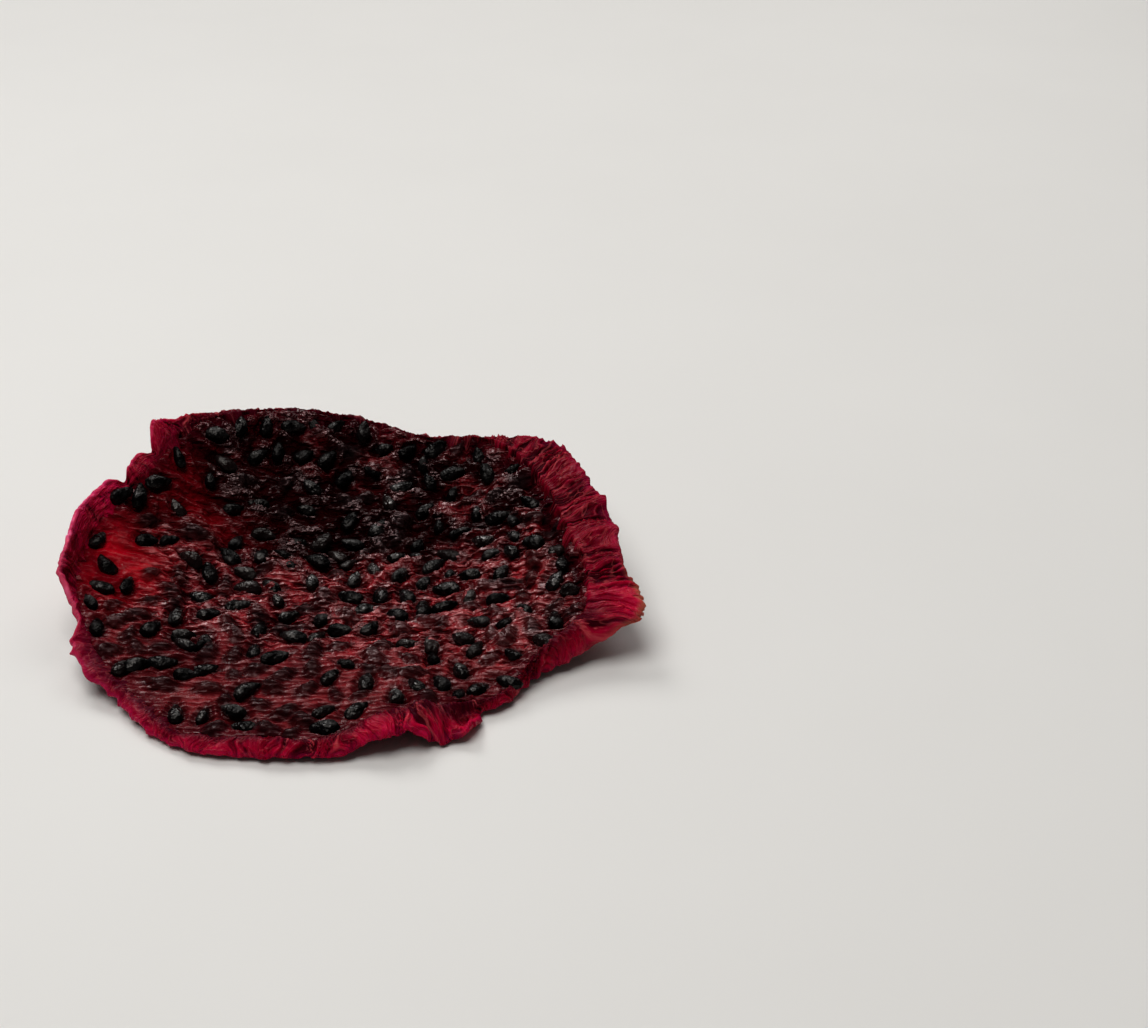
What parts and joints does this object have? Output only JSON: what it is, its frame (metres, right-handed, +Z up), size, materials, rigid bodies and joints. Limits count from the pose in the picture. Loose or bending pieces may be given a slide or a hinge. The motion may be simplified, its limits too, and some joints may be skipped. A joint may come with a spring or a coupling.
{
  "type": "dried dragon fruit slice",
  "caption": "Thin, round, cross-cut slice of red dragon fruit, dried: wrinkled dark flesh full of seeds inside a crinkled ribbon of peel, lying flat in front and curled up behind.",
  "frame": {"origin": "on the surface that the slice lies on, below the middle of its bounding box", "axes": "+Z up, +Y towards the raised back edge, +X towards the wide brim of peel on the right"},
  "size_m": [0.0658, 0.0582, 0.0146],
  "materials": {
    "flesh": "dried fruit flesh, finely wrinkled, dark maroon with a soft sheen on the wrinkles, translucent where it is thin",
    "peel": "dried fruit peel, crimson to magenta, crinkled across its width, soft satin, translucent at its edges",
    "seed": "small black seeds with a soft grey sheen, some under a film of flesh"
  },
  "bodies": {
    "root": {"dragon_fruit_slice": "flesh"}
  },
  "joints": []
}
